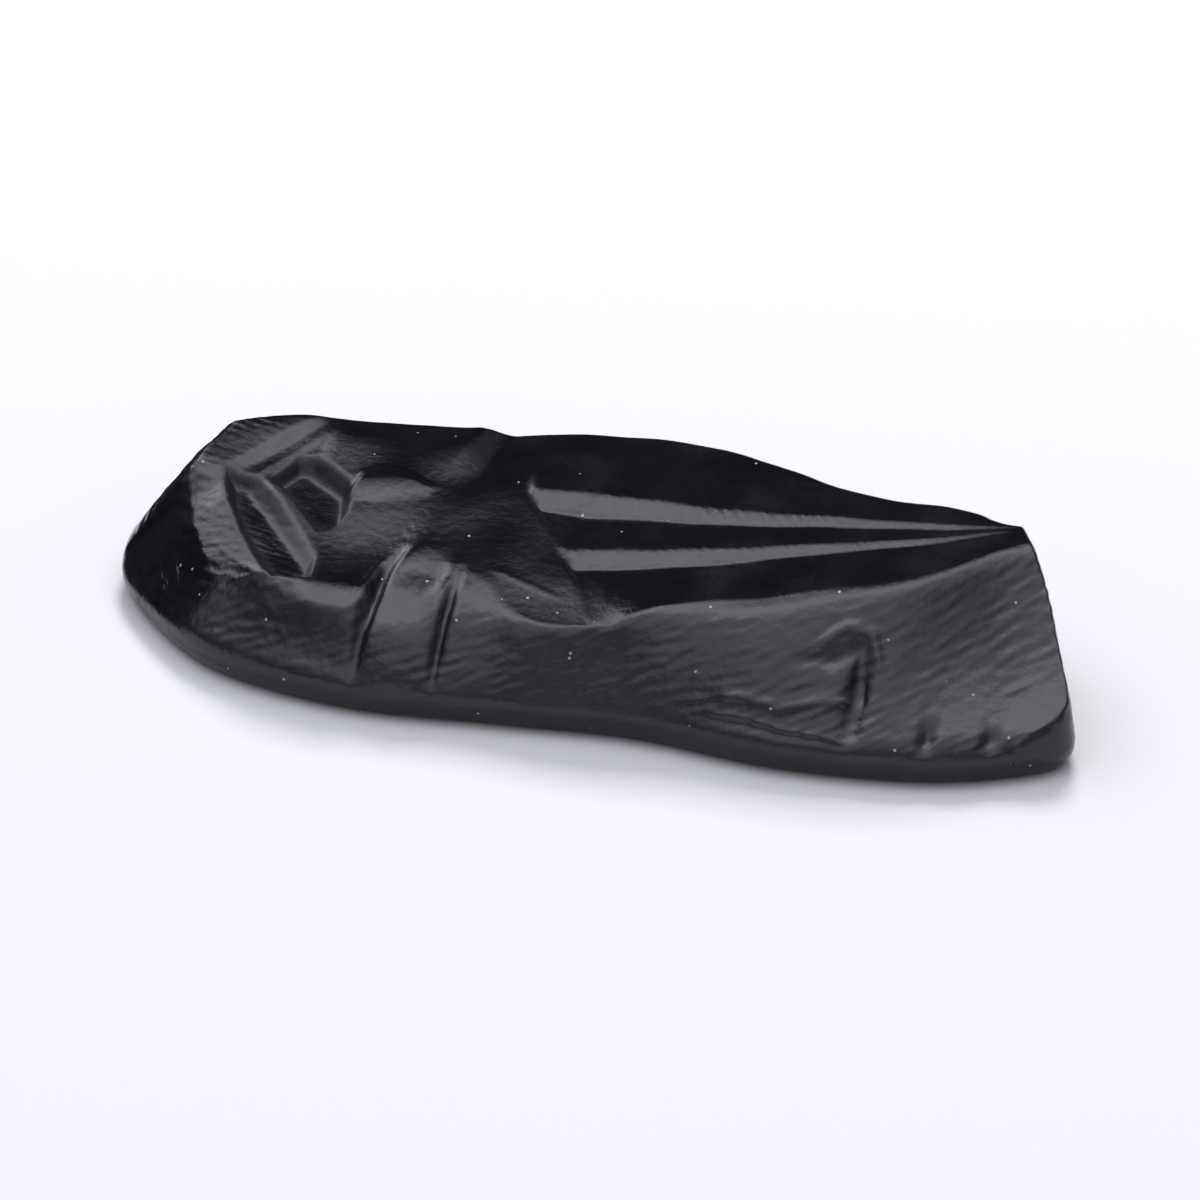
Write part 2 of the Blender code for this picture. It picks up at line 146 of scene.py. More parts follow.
grooves = {  # line, width, depth, and the share of its depth that each starts with
    "neckSeam": (((-7.1, -2.4), (-7.4, -3.7), (-7.6, -5.7), (-7.75, -8.6)), 0.25, 0.5, 0.0),
    "pillarSeam": (((-4.6, -3.7), (-4.6, -5.0), (-4.75, -8.2)), 0.2, 0.42, 0.15),
    "notch": (((1.6, -5.4), (1.3, -6.0), (1.7, -7.4)), 0.4, 0.2, 0.6),
    "bowFold": (((11.15, -4.3), (11.05, -5.4), (10.95, -7.2)), 0.34, 0.3, 0.4),
    "firstDent": (((13.75, -5.4), (13.65, -7.0)), 0.3, 0.25, 0.0),
    "secondDent": (((15.95, -4.7), (15.8, -6.4)), 0.3, 0.25, 0.0),
}
grooveFade = {"height": 2.2, "length": 1.8}  # how far up a wall, and on from its start, a groove gets deeper
moulding = {  # soft unevenness: length, direction, height of each wave
    "waves": ((7.3, 0.4, 0.03), (4.1, 1.9, 0.02), (2.9, 2.7, 0.015), (5.3, 1.1, 0.02)),
}
folds = {  # fine folds of the skin: line, width and height, which is below 0 where one is pressed in
    "hook": (((9.0, -4.95), (10.2, -4.05), (11.2, -3.9), (11.9, -5.0)), 0.17, 0.11),
    "underHook": (((9.4, -5.2), (10.9, -4.4), (11.3, -6.0)), 0.24, -0.14),
    "blot": (((8.2, -5.3), (10.6, -4.8)), 0.15, -0.09),
    "bowHollow": (((11.2, -4.3), (10.9, -7.2)), 0.5, -0.14),
    "firstDent": (((13.9, -5.1), (13.75, -7.4)), 0.3, -0.28),
    "secondDent": (((16.1, -4.5), (15.95, -6.9)), 0.3, -0.28),
    "footLip": (((5.3, -6.45), (8.5, -6.72), (11.6, -6.7)), 0.06, 0.05),
    "underLip": (((5.5, -6.6), (8.4, -6.85), (11.6, -6.8)), 0.1, -0.08),
    "footFold": (((5.4, -6.1), (8.3, -6.3), (11.4, -5.6)), 0.12, 0.08),
    "notchBlot": (((0.4, -5.6), (1.6, -5.9), (2.8, -5.6)), 0.3, -0.12),
    "sternScratch": (((-16.9, -2.2), (-15.9, -4.2)), 0.07, -0.05),
    "sternScratchTwo": (((-16.3, -2.3), (-15.4, -4.4)), 0.06, 0.04),
    "chip": (((15.9, -3.6), (17.1, -2.65)), 0.08, 0.07),
    "notchLip": (((0.9, -4.9), (0.9, -6.1)), 0.16, 0.03),
    "coamingStreak": (((-3.8, -3.3), (-2.1, -3.75), (-0.4, -4.3)), 0.14, 0.04),
}
skin = {  # fine relief that stands along the surface's own normal
    "wrinkleLength": 0.42,
    "wrinkleTilt": 0.5,
    "wrinkleSpread": 0.35,
    "wrinkleCount": 26,
    "wrinkleHeight": 0.0085,
    "dimpleLength": 1.3,
    "dimpleCount": 30,
    "dimpleHeight": 0.005,
    "seed": 7,
    "step": 0.04,
    "rimHatch": (0.3, 1.2, 0.35, 0.008),  # length, direction, spread and height of the strokes on the rim
    "rimBand": (0.7, 1.2),  # how far off the rim's line the strokes are highest, and half their band's width
    "wallFrom": 0.5,        # steepness at which a wall's skin begins
    "wallOver": 0.6,        # and how much steeper it is where that skin is full
    "edgeGap": 0.25,        # the bare height above the widest line
    "edgeOver": 0.8,        # and the height over which the skin then comes in
    "climb": 1.15,          # how much of a place's height counts as its way across
    "lengthSpan": (0.7, 1.4),  # the shortest and longest ripple against the length asked for
    "flatShare": 0.25,      # the share of the dimples that a flat place keeps
    "shrink": 0.998,        # the fine mesh's size against the moulded form's, so that it stays inside
}
worn = {"width": 0.3, "name": "slotEdge"}  # the dulled band on the slots' edges, and the mesh's name for it
meshing = {"longQuads": 430, "crossQuads": 205, "edgeCrowding": 0.2, "sternCrowding": 0.2}


def smoothStep(t):
    t = np.clip(t, 0.0, 1.0)
    return t * t * (3.0 - 2.0 * t)


# The lower of two heights, rounded over where they cross
def lowerOf(a, b, blend):
    share = np.clip(0.5 + 0.5 * (b - a) / blend, 0.0, 1.0)
    return b * (1.0 - share) + a * share - blend * share * (1.0 - share)


# A round bump, 1 in its middle and 0 from 1 off it
def swell(off):
    return np.clip(1.0 - off**2, 0.0, 1.0) ** 2


# A smooth closed curve through points
def smoothLoop(points, steps):
    here = np.array(points)
    before, after, beyond = np.roll(here, 1, 0), np.roll(here, -1, 0), np.roll(here, -2, 0)
    t = (np.arange(steps) / steps)[:, None]
    runs = []
    for a, b, c, d in zip(before, here, after, beyond):
        run = 2.0 * b + (c - a) * t + (2.0 * a - 5.0 * b + 4.0 * c - d) * t**2
        runs.append(0.5 * (run + (3.0 * b - a - 3.0 * c + d) * t**3))
    return np.concatenate(runs)


def stretch(curve, ends):
    index = np.arange(ends[0] * hull["curveSteps"], ends[1] * hull["curveSteps"] + 1)
    return curve[index % len(curve)]


def lineDistance(x, y, line):
    nearest = np.full(x.shape, np.inf)
    for (ax, ay), (bx, by) in zip(line[:-1], line[1:]):
        runX, runY = bx - ax, by - ay
        share = np.clip(((x - ax) * runX + (y - ay) * runY) / (runX**2 + runY**2), 0.0, 1.0)
        nearest = np.minimum(nearest, np.hypot(x - ax - share * runX, y - ay - share * runY))
    return nearest


# A smooth curve through values given at knots
def through(at, knots, values):
    knots, values = np.array(knots), np.array(values)
    slopes = np.gradient(values, knots)
    index = np.clip(np.searchsorted(knots, at, side="right") - 1, 0, len(knots) - 2)
    span = knots[index + 1] - knots[index]
    t = np.clip((at - knots[index]) / span, 0.0, 1.0)
    value = values[index] * (1.0 - t) ** 2 * (1.0 + 2.0 * t) + values[index + 1] * t**2 * (3.0 - 2.0 * t)
    return value + span * t * (1.0 - t) * (slopes[index] * (1.0 - t) - slopes[index + 1] * t)


# Rises evenly from 0 to 1 with rounded ends
def ramp(t, rounding):
    return -lowerOf(-lowerOf(t, 1.0, rounding), 0.0, rounding)


# A wall leaves the widest line upright and then leans in; bulged, it is steep at its foot and eases upwards
def sideWall(x, y, line, slope, topInset, bulge):
    inset = lineDistance(x, y, line)
    rounding = hull["edgeRound"]
    foot = slope * (1.0 + bulge)
    turned = rounding * (1.0 - 1.0 / np.hypot(1.0, 1.0 / foot))
    lift = rounding / np.hypot(1.0, foot)
    left = np.clip(rounding - inset, 0.0, rounding)
    upright = np.sqrt(rounding**2 - left**2)
    beyond = np.maximum(inset - turned, 0.0)
    below = np.minimum(beyond, topInset)
    leaning = lift + foot * below - slope * bulge * below**2 / topInset + slope * (beyond - below)
    return hull["edgeHeight"] + np.where(inset < turned, upright, leaning)


def walls(x, y, curve):
    starboardSlope = through(x, hull["starboardX"], hull["starboardSlope"])
    starboardLine = np.vstack((stretch(curve, hull["starboard"])[::hull["lineStep"]], hull["forwardEnd"]))
    starboardInset = through(x, hull["starboardX"], hull["starboardInset"])
    starboardBulge = through(x, hull["starboardX"], hull["starboardBulge"])
    starboard = sideWall(x, y, starboardLine, starboardSlope, starboardInset, starboardBulge)
    portLine = stretch(curve, hull["port"])[::hull["lineStep"]]
    portSlope = through(x, hull["portX"], hull["portSlope"])
    port = sideWall(x, y, portLine, portSlope, hull["portInset"], hull["portBulge"])
    noseLine = stretch(curve, hull["bow"])[::hull["lineStep"]]
    nose = sideWall(x, y, noseLine, hull["noseSlope"], hull["noseInset"], hull["noseBulge"])
    return lowerOf(np.minimum(starboard, port), nose, hull["blend"])


# Many sines of like length, whose directions and lengths differ a little: folds or, spread wide, dimples
def ripples(along, across, length, direction, spread, count, seed):
    draw = np.random.default_rng(seed)
    total = np.zeros(along.shape)
    for _ in range(count):
        angle = direction + spread * draw.uniform(-1.0, 1.0)
        wave = length * draw.uniform(*skin["lengthSpan"])
        phase = draw.uniform(0.0, 2.0 * np.pi)
        way = along * np.cos(angle) + across * np.sin(angle)
        total = total + np.sin(2.0 * np.pi * way / wave + phase)
    return total * math.sqrt(2.0 / count)


# Planks that lap upwards to port and run forward to one tip; crisp is 0 where they fade into a smooth slope
def plankedDeck(x, y, crisp):
    tipX, tipY = deck["tip"]
    reach = np.clip((tipX - x) / (tipX - deck["start"]), 0.0, 1.0)
    tilt, centre = deck["tilt"]
    tilted = tilt * (y - centre) * smoothStep((x - deck["tiltFrom"]) / deck["tiltOver"])
    height = deck["high"] + (deck["low"] - deck["high"] + tilted) * reach
    length, depth, direction, spread, count = deck["lapHatch"]
    hatch = depth * ripples(x, y, length, direction, spread, count, skin["seed"])
    for lap, rise, bend in deck["laps"]:
        past = y - tipY - (lap - tipY) * reach + 4.0 * bend * reach * (1.0 - reach)
        width = deck["lapNarrow"] + (deck["lapWidth"] - deck["lapNarrow"]) * reach
        sharp = ramp(past / (width * (1.0 + hatch)), deck["lapRound"])
        sharp = sharp - deck["grooveDepth"] / rise * np.exp(-((past / deck["grooveWidth"] + 0.5) ** 2))
        soft = smoothStep(0.5 + past / deck["spread"])
        height = height + rise * reach * (sharp * crisp + soft * (1.0 - crisp))
    return height


# How far each place lies to the left of the line from one place to another
def lineOff(x, y, start, end):
    runX, runY = end[0] - start[0], end[1] - start[1]
    return (runX * (y - start[1]) - runY * (x - start[0])) / math.hypot(runX, runY)


# For each side of a polygon with anticlockwise corners: how far in each place lies, and how wide it falls
def sidesOf(x, y, corners):
    for (ax, ay, fall), (bx, by, _) in zip(corners, corners[1:] + corners[:1]):
        yield lineOff(x, y, (ax, ay), (bx, by)), fall


# How far each place lies inside a polygon, in widths of its sides' falls, 0 to 1
def insideOf(x, y, corners):
    depth = np.min([off / fall for off, fall in sidesOf(x, y, corners)], axis=0)
    return ramp(depth, cockpit["fallRound"])


# 1 along the edges of the slots, fading to 0 on both sides
def slotEdges(x, y):
    edge = np.zeros(x.shape)
    for corners in cockpit["slots"].values():
        depth = np.min([off - 0.5 * fall for off, fall in sidesOf(x, y, corners)], axis=0)
        edge = np.maximum(edge, np.exp(-((depth / worn["width"]) ** 2)))
    return edge


def cockpitBox(x, y):
    height = through(y, cockpit["acrossY"], cockpit["acrossZ"])
    shelf = insideOf(x, y, cockpit["shelf"])
    height = height + (np.maximum(height, cockpit["shelfHeight"]) - height) * shelf
    for line, width, depth, (full, gone) in cockpit["steps"]:
        beyond = lineOff(x, y, *line)
        fade = 1.0 - smoothStep((lineDistance(x, y, line) - full) / (gone - full))
        height = height - depth * fade * ramp(beyond / width, cockpit["stepRound"])
    outside = np.zeros(x.shape)
    for here, after in zip(cockpit["rim"][:-1], cockpit["rim"][1:]):
        outside = np.maximum(outside, -lineOff(x, y, here, after))
    forward, port, fade = cockpit["rimEnds"]
    steeper = np.maximum(outside - cockpit["rimWidth"], 0.0)
    falling = cockpit["rimSlope"] * outside + cockpit["rimFall"] * steeper
    height = height - falling * smoothStep((forward - x) / fade) * smoothStep((port + fade - y) / fade)
    floorAt, floorRise = cockpit["floor"]
    for corners in cockpit["slots"].values():
        height = height + (np.minimum(height, floorAt + floorRise * y) - height) * insideOf(x, y, corners)
    return height


# The deck ahead of the coaming and the cockpit behind it
def deckAndCockpit(x, y):
    line, ends = np.array(coaming["line"])[::-1], np.array(deck["ends"])[::-1]
    share = smoothStep(0.5 + 0.5 * (x - through(y, line[:, 1], line[:, 0])) / coaming["half"])
    crisp = smoothStep((x - through(y, ends[:, 1], ends[:, 0])) / deck["endWidth"])
    height = cockpitBox(x, y) * (1.0 - share) + plankedDeck(x, y, crisp) * share
    for line, half, rise in dips.values():
        height = height + rise * swell(lineDistance(x, y, line) / half)
    return height


def softWaves(x, y):
    total = np.zeros(x.shape)
    for length, direction, height in moulding["waves"]:
        along = x * np.cos(direction) + y * np.sin(direction)
        total = total + height * np.sin(2.0 * np.pi * along / length + length)
    return total


# Height of the candy's top over each place of the plan
def reliefHeight(x, y, curve):
    blend = through(x, hull["starboardX"], hull["starboardBlend"])
    height = lowerOf(walls(x, y, curve), deckAndCockpit(x, y), blend)
    placeX, placeY, placeZ = lobe["place"]
    aft, fullAft, fullForward, forward = lobe["along"]
    near = smoothStep((x - aft) / (fullAft - aft)) * smoothStep((forward - x) / (forward - fullForward))
    shoulder = placeZ + lobe["slope"][0] * (x - placeX) + lobe["slope"][1] * (y - placeY)
    height = height + (lowerOf(height, shoulder, lobe["blend"]) - height) * near
    aboveEdge = smoothStep(height - hull["edgeHeight"])
    offPillar = lineDistance(x, y, pillar["line"]) / pillar["half"]
    height = height + (pillar["rise"] * swell(offPillar) + softWaves(x, y)) * aboveEdge
    upWall = smoothStep((height - hull["edgeHeight"]) / grooveFade["height"])
    for line, width, depth, start in grooves.values():
        headX, headY = line[0]
        onward = smoothStep(np.hypot(x - headX, y - headY) / grooveFade["length"])
        full = start + (1.0 - start) * onward
        height = height - depth * full * np.exp(-((lineDistance(x, y, line) / width) ** 2)) * upWall
    return np.maximum(height, hull["edgeHeight"])


# Fine relief of the skin, in millimetres out along the normal
def skinRelief(x, y, z, steepness):
    onWall = smoothStep((steepness - skin["wallFrom"]) / skin["wallOver"])
    aboveEdge = smoothStep((z - hull["edgeHeight"] - skin["edgeGap"]) / skin["edgeOver"])
    climb = z * skin["climb"]
    acrossWrinkle = skin["wrinkleTilt"] + 0.5 * np.pi
    wrinkles = ripples(x, climb, skin["wrinkleLength"], acrossWrinkle, skin["wrinkleSpread"],
                       skin["wrinkleCount"], skin["seed"])
    dimples = ripples(x, y + climb, skin["dimpleLength"], 0.0, np.pi, skin["dimpleCount"], skin["seed"] + 1)
    relief = skin["wrinkleHeight"] * wrinkles * onWall
    dimpled = skin["flatShare"] + (1.0 - skin["flatShare"]) * onWall
    relief = relief + skin["dimpleHeight"] * dimples * dimpled
    length, direction, spread, height = skin["rimHatch"]
    bandAt, bandHalf = skin["rimBand"]
    onRim = swell((lineDistance(x, y, cockpit["rim"]) - bandAt) / bandHalf)
    onRim = onRim * smoothStep(cockpit["rimEnds"][0] - x)
    strokes = ripples(x, y, length, direction, spread, skin["dimpleCount"], skin["seed"] + 2)
    relief = relief + height * onRim * strokes
    for line, width, rise in folds.values():
        (startX, startY), (endX, endY) = line[0], line[-1]
        fade = smoothStep(np.hypot(x - startX, y - startY)) * smoothStep(np.hypot(x - endX, y - endY))
        relief = relief + rise * fade * np.exp(-((lineDistance(x, y, line) / width) ** 2))
    return relief * aboveEdge


def alongLine(line, share):
    lengths = np.hypot(*np.diff(line, axis=0).T)
    reached = np.concatenate(([0.0], np.cumsum(lengths))) / lengths.sum()
    return np.stack((np.interp(share, reached, line[:, 0]), np.interp(share, reached, line[:, 1])), 1)


# Carries the places of a square, 0 to 1 each way, to the plan inside the outline
def planPlaces(u, v, curve):
    count = len(hull["outline"])
    forward, port, aft, starboard = hull["corners"]
    bow = stretch(curve, (forward, port + count))
    portSide = stretch(curve, (port, aft))[::-1]
    stern = stretch(curve, (aft, starboard))[::-1]
    nearSide = stretch(curve, (starboard, forward))
    near, far = alongLine(nearSide, u), alongLine(portSide, u)
    left, right = alongLine(stern, v), alongLine(bow, v)
    u, v = u[:, None], v[:, None]
    sides = (1.0 - v) * near + v * far + (1.0 - u) * left + u * right
    ends = (1.0 - u) * ((1.0 - v) * nearSide[0] + v * portSide[0])
    return sides - ends - u * ((1.0 - v) * nearSide[-1] + v * portSide[-1])


def crowded(t):
    return t * (1.0 + meshing["edgeCrowding"] - meshing["edgeCrowding"] * t**2)


# A fine grid laid over the plan, raised to the relief and then given its skin
def addTop(bm, curve):
    bmesh.ops.create_grid(bm, x_segments=meshing["longQuads"], y_segments=meshing["crossQuads"], size=1.0)
    flat = np.array([vert.co[:2] for vert in bm.verts])
    share = 0.5 + 0.5 * crowded(flat)
    along = share[:, 0] - meshing["sternCrowding"] * share[:, 0] * (1.0 - share[:, 0])
    x, y = planPlaces(along, share[:, 1], curve).T
    z = reliefHeight(x, y, curve)
    step = skin["step"]
    riseX = (reliefHeight(x + step, y, curve) - reliefHeight(x - step, y, curve)) / (2.0 * step)
    riseY = (reliefHeight(x, y + step, curve) - reliefHeight(x, y - step, curve)) / (2.0 * step)
    length = np.sqrt(1.0 + riseX**2 + riseY**2)
    out = skinRelief(x, y, z, np.hypot(riseX, riseY))
    places = np.stack((x - riseX * out / length, y - riseY * out / length, z + out / length), 1)
    places = (places - (*hull["middle"], 0.0)) * mm * skin["shrink"]
    edge = bm.verts.layers.float.new(worn["name"])
    for vert, place, dull in zip(bm.verts, places, slotEdges(x, y)):
        vert.co = place
        vert[edge] = dull


# Turns the edge under in rings and closes it with the flat base
def addBase(bm):
    edges = [edge for edge in bm.edges if edge.is_boundary]
    rings = hull["baseRings"]
    for ring in range(1, rings + 1):
        turn, before = 0.5 * np.pi * ring / rings, 0.5 * np.pi * (ring - 1) / rings
        inset = hull["baseInset"] * mm * (np.cos(before) - np.cos(turn))
        height = hull["edgeHeight"] * mm * (1.0 - np.sin(turn))
        grown = bmesh.ops.extrude_edge_only(bm, edges=edges)["geom"]
        rim = [item for item in grown if isinstance(item, bmesh.types.BMVert)]
        edges = [item for item in grown if isinstance(item, bmesh.types.BMEdge) and item.is_boundary]
        inward = {}
        for vert in rim:
            ends = [edge.other_vert(vert) for edge in vert.link_edges if edge.is_boundary]
            run = ends[0].co - ends[1].co
            side = run.cross((0.0, 0.0, 1.0)).normalized()
            inward[vert] = side if side.dot(vert.co) < 0.0 else -side
        for vert, side in inward.items():
            vert.co.x += side.x * inset
            vert.co.y += side.y * inset
            vert.co.z = height
    bmesh.ops.contextual_create(bm, geom=edges)


def makeCandy():
    curve = smoothLoop(hull["outline"], hull["curveSteps"])
    bm = bmesh.new()
    addTop(bm, curve)
    addBase(bm)
    bmesh.ops.recalc_face_normals(bm, faces=bm.faces)
    bmesh.ops.triangulate(bm, faces=[face for face in bm.faces if len(face.verts) > 4])
    mesh = bpy.data.meshes.new("candy")
    bm.to_mesh(mesh)
    bm.free()
    mesh.shade_smooth()
    candy = bpy.data.objects.new("candy", mesh)
    bpy.context.collection.objects.link(candy)
    return candy


licorice = {
    "colour": (0.0022, 0.0018, 0.003, 1.0),
    "ior": 1.5,
    "roughness": (0.18, 0.3),   # from its glossy to its dull patches
    "patchScale": 350.0,
    "patchDetail": 5.0,
    "patchSpan": (0.35, 0.65),  # the pattern's values at the glossiest and at the dullest
    "edgeDulling": 0.3,         # how much is added to the roughness on the slots' edges
    "grainScale": 3000.0,
    "grainDetail": 2.0,
    "grainDepth": 0.000025,
    # the pale speck colour and the three values after it make painted glints, standing in for the glints of
    # tiny bumps
    "paintedGlintColour": (0.2, 0.2, 0.22, 1.0),
    "paintedGlintScale": 1300.0,
    "paintedGlintSize": 0.07,
    "paintedGlintShare": 0.5,
}


# Works one value out from two, each a number or another node's socket
def joined(nodes, links, operation, first, second):
    result = nodes.new("ShaderNodeMath")
    result.operation = operation
    for socket, value in zip(result.inputs, (first, second)):
        if isinstance(value, bpy.types.NodeSocket):
            links.new(value, socket)
        else:
            socket.default_value = value
    return result.outputs["Value"]


# Painted glints: sparse pale specks in the base colour that stand in for the glints of tiny bumps; small
# balls of a cell pattern, where the surface cuts them
def paintedGlints(nodes, links, places):
    cells = nodes.new("ShaderNodeTexVoronoi")
    cells.inputs["Scale"].default_value = licorice["paintedGlintScale"]
    links.new(places, cells.inputs["Vector"])
    chance = nodes.new("ShaderNodeSeparateColor")
    links.new(cells.outputs["Color"], chance.inputs["Color"])
    small = joined(nodes, links, "LESS_THAN", cells.outputs["Distance"], licorice["paintedGlintSize"])
    few = joined(nodes, links, "GREATER_THAN", chance.outputs["Red"], licorice["paintedGlintShare"])
    return joined(nodes, links, "MULTIPLY", small, few)


# The roughness: glossy and duller patches, with more added along the slots' edges
def dullness(nodes, links, places):
    patches = nodes.new("ShaderNodeTexNoise")
    patches.inputs["Scale"].default_value = licorice["patchScale"]
    patches.inputs["Detail"].default_value = licorice["patchDetail"]
    links.new(places, patches.inputs["Vector"])
    spread = nodes.new("ShaderNodeMapRange")
    spread.inputs["From Min"].default_value, spread.inputs["From Max"].default_value = licorice["patchSpan"]
    spread.inputs["To Min"].default_value, spread.inputs["To Max"].default_value = licorice["roughness"]
    links.new(patches.outputs["Fac"], spread.inputs["Value"])
    edge = nodes.new("ShaderNodeAttribute")
    edge.attribute_name = worn["name"]
    dulled = joined(nodes, links, "MULTIPLY", edge.outputs["Fac"], licorice["edgeDulling"])
    return joined(nodes, links, "ADD", spread.outputs["Result"], dulled)


def glossyLicorice():
    material = bpy.data.materials.new("glossyLicorice")
    material.use_nodes = True
    nodes, links = material.node_tree.nodes, material.node_tree.links
    shader = nodes["Principled BSDF"]
    shader.inputs["IOR"].default_value = licorice["ior"]
    places = nodes.new("ShaderNodeTexCoord").outputs["Object"]
    links.new(dullness(nodes, links, places), shader.inputs["Roughness"])
    # pale painted glints are mixed into the base colour here: painted highlights, not a colour of the candy
    colour = nodes.new("ShaderNodeMix")
    colour.data_type = "RGBA"
    colour.inputs["A"].default_value = licorice["colour"]
    colour.inputs["B"].default_value = licorice["paintedGlintColour"]
    links.new(paintedGlints(nodes, links, places), colour.inputs["Factor"])
    links.new(colour.outputs["Result"], shader.inputs["Base Color"])
    grain = nodes.new("ShaderNodeTexNoise")
    grain.inputs["Scale"].default_value = licorice["grainScale"]
    grain.inputs["Detail"].default_value = licorice["grainDetail"]
    bump = nodes.new("ShaderNodeBump")
    bump.inputs["Distance"].default_value = licorice["grainDepth"]
    links.new(places, grain.inputs["Vector"])
    links.new(grain.outputs["Fac"], bump.inputs["Height"])
    links.new(bump.outputs["Normal"], shader.inputs["Normal"])
    return material


candy = makeCandy()
candy.data.materials.append(glossyLicorice())
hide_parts("licorice_boat")
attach(candy, "root")
print("candy made:", len(candy.data.polygons), "faces")


# The camera looks from the photograph's direction, and the studio's arch stands square to it
view = {
    "azimuth": 17.0,
    "elevation": 30.0,
    "distance": 0.356,
    "frameWidth": 0.0444,
    "aim": (-0.00014, -0.000841),  # right and up from the middle of the candy
    "aimHeight": 0.003,
    "sensor": 36.0,
    "clipStart": 0.01,
}


def directionTo(azimuth, elevation):
    a, e = math.radians(azimuth), math.radians(elevation)
    return Vector((math.sin(a) * math.cos(e), -math.cos(a) * math.cos(e), math.sin(e)))


def makeCamera():
    back = directionTo(view["azimuth"], view["elevation"])
    right = Vector((math.cos(math.radians(view["azimuth"])), math.sin(math.radians(view["azimuth"])), 0.0))
    aim = Vector((0.0, 0.0, view["aimHeight"])) + right * view["aim"][0] + back.cross(right) * view["aim"][1]
    data = bpy.data.cameras.new("camera")
    data.sensor_width = view["sensor"]
    data.lens = view["sensor"] * view["distance"] / view["frameWidth"]
    data.clip_start = view["clipStart"]
    camera = bpy.data.objects.new("camera", data)
    camera.location = aim + back * view["distance"]
    camera.rotation_euler = back.to_track_quat("Z", "Y").to_euler()
    bpy.context.collection.objects.link(camera)
    bpy.context.scene.camera = camera


makeCamera()
print("camera placed")


# The studio is a soft arch over the candy, from front to back, with two glows behind it at the left
studio = {
    "tint": (0.9, 0.91, 1.0, 1.0),
    "arch": {  # brightness by the degrees from the front horizon, over the top, to the back horizon
        0: 0.4, 20: 0.75, 30: 1.2, 40: 1.5, 50: 1.6, 60: 1.75, 70: 2.0, 79: 2.6, 87: 3.6, 100: 3.6,
        108: 2.6, 116: 1.5, 124: 0.8, 134: 0.33, 150: 0.25, 180: 0.3,
    },
    "sides": {0: 0.12, 25: 1.0, 58: 1.0, 73: 0.75, 78: 0.62, 95: 0.2},  # how it dims, left 0 to right 95
    "sideSpan": (-1.0, 0.9),    # and how far left and right those two are
    "glows": {  # azimuth, elevation, the half angles at which it is full and gone, and brightness
        "left": (-132.0, 17.0, 9.0, 20.0, 2.2),
        "leftHigh": (-118.0, 38.0, 10.0, 24.0, 2.0),
    },
    "dark": (200.0, 30.0, 14.0, 27.0),  # where the back stays dark: azimuth, elevation, half angles
    "darkShare": 0.06,          # the share of the light that is left there
}
floorPlan = {"size": 3.0, "colour": (0.4, 0.4, 0.41, 1.0), "roughness": 0.8}
backLight = {"azimuth": 190.0, "elevation": 48.0, "distance": 0.5, "size": 0.16, "power": 3.4,
             "colour": (1.0, 0.99, 0.98)}  # it stays out of reflections and lays the soft shadow in front
flag = {"stretch": (7, 12), "gap": 4.0, "height": 7.5, "step": 12, "colour": (0.01, 0.01, 0.01, 1.0)}


# How far the view's way points towards a direction, 1 at most
def alongWay(nodes, links, way, towards):
    dot = nodes.new("ShaderNodeVectorMath")
    dot.operation = "DOT_PRODUCT"
    links.new(way, dot.inputs[0])
    dot.inputs[1].default_value = towards
    return dot.outputs["Value"]


# A value looked up along a row of stops, each a place between 0 and full and the value there
def looked(nodes, links, value, span, table):
    lowest, full = min(table), max(table)
    most = max(table.values())
    place = nodes.new("ShaderNodeMapRange")
    links.new(value, place.inputs["Value"])
    place.inputs["From Min"].default_value, place.inputs["From Max"].default_value = span
    ramped = nodes.new("ShaderNodeValToRGB")
    links.new(place.outputs["Result"], ramped.inputs["Fac"])
    stops = ramped.color_ramp.elements
    while len(stops) > 1:
        stops.remove(stops[0])
    for at, brightness in table.items():
        stop = stops[0] if at == lowest else stops.new(at / full)
        stop.position = at / full
        stop.color = (*3 * (brightness / most,), 1.0)
    return joined(nodes, links, "MULTIPLY", ramped.outputs["Color"], most)


# A round patch of the sky, placed by azimuth, elevation and the half angles at which it is full and gone;
# result holds its value where it is gone and where it is full
def patchOf(nodes, links, way, place, result):
    azimuth, elevation, full, gone = place
    span = math.cos(math.radians(gone)), math.cos(math.radians(full))
    patch = nodes.new("ShaderNodeMapRange")
    patch.interpolation_type = "SMOOTHSTEP"
    links.new(alongWay(nodes, links, way, directionTo(azimuth, elevation)), patch.inputs["Value"])
    patch.inputs["From Min"].default_value, patch.inputs["From Max"].default_value = span
    patch.inputs["To Min"].default_value, patch.inputs["To Max"].default_value = result
    return patch.outputs["Result"]


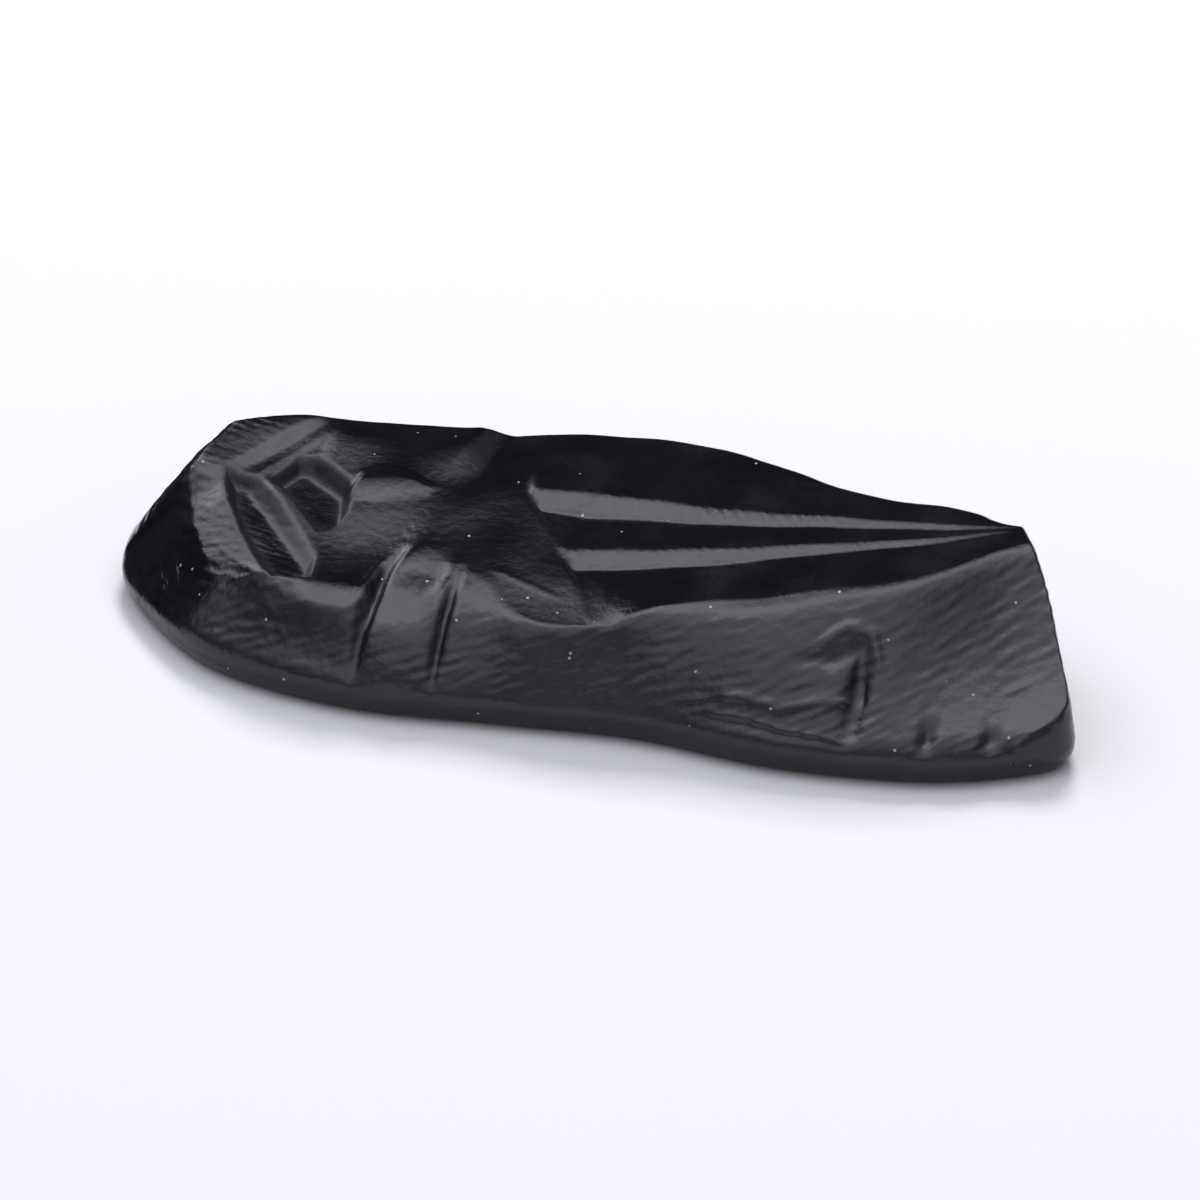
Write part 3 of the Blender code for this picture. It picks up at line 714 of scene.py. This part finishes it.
def makeStudio():
    world = bpy.data.worlds.new("studio")
    world.use_nodes = True
    nodes, links = world.node_tree.nodes, world.node_tree.links
    background = nodes["Background"]
    background.inputs["Color"].default_value = studio["tint"]
    way = nodes.new("ShaderNodeTexCoord").outputs["Generated"]
    up = alongWay(nodes, links, way, (0.0, 0.0, 1.0))
    front = alongWay(nodes, links, way, directionTo(view["azimuth"], 0.0))
    right = alongWay(nodes, links, way, directionTo(view["azimuth"] + 90.0, 0.0))
    angle = joined(nodes, links, "ARCTAN2", up, front)
    arch = looked(nodes, links, angle, (0.0, math.pi), studio["arch"])
    sides = looked(nodes, links, right, studio["sideSpan"], studio["sides"])
    total = joined(nodes, links, "MULTIPLY", arch, sides)
    for *place, brightness in studio["glows"].values():
        glow = patchOf(nodes, links, way, place, (0.0, brightness))
        total = joined(nodes, links, "ADD", total, glow)
    kept = patchOf(nodes, links, way, studio["dark"], (1.0, studio["darkShare"]))
    total = joined(nodes, links, "MULTIPLY", total, kept)
    links.new(total, background.inputs["Strength"])
    bpy.context.scene.world = world
    bpy.context.scene.view_settings.view_transform = "Standard"


def makeBackLight():
    data = bpy.data.lights.new("backLight", "AREA")
    data.energy = backLight["power"]
    data.size = backLight["size"]
    data.color = backLight["colour"]
    lamp = bpy.data.objects.new("backLight", data)
    back = directionTo(backLight["azimuth"], backLight["elevation"])
    lamp.location = back * backLight["distance"]
    lamp.rotation_euler = back.to_track_quat("Z", "Y").to_euler()
    lamp.visible_glossy = False
    bpy.context.collection.objects.link(lamp)


def makeFloor():
    bpy.ops.mesh.primitive_plane_add(size=floorPlan["size"])
    floor = bpy.context.object
    floor.name = "floor"
    material = bpy.data.materials.new("paleTable")
    material.use_nodes = True
    shader = material.node_tree.nodes["Principled BSDF"]
    shader.inputs["Base Color"].default_value = floorPlan["colour"]
    shader.inputs["Roughness"].default_value = floorPlan["roughness"]
    floor.data.materials.append(material)


# A low dark flag stands behind the stern's far side and is seen in reflections only
def makeFlag():
    line = stretch(smoothLoop(hull["outline"], hull["curveSteps"]), flag["stretch"])[::flag["step"]]
    run = np.gradient(line, axis=0)
    out = np.stack((run[:, 1], -run[:, 0]), 1) / np.hypot(run[:, 0], run[:, 1])[:, None]
    foot = (line + out * flag["gap"] - hull["middle"]) * mm
    corners = [(*place, 0.0) for place in foot] + [(*place, flag["height"] * mm) for place in foot]
    count = len(foot)
    quads = [(i, i + 1, count + i + 1, count + i) for i in range(count - 1)]
    mesh = bpy.data.meshes.new("flag")
    mesh.from_pydata(corners, [], quads)
    material = bpy.data.materials.new("darkCard")
    material.use_nodes = True
    material.node_tree.nodes["Principled BSDF"].inputs["Base Color"].default_value = flag["colour"]
    mesh.materials.append(material)
    card = bpy.data.objects.new("flag", mesh)
    card.visible_camera = False
    card.visible_diffuse = False
    card.visible_shadow = False
    bpy.context.collection.objects.link(card)


makeStudio()
makeBackLight()
makeFloor()
makeFlag()
print("studio lit")
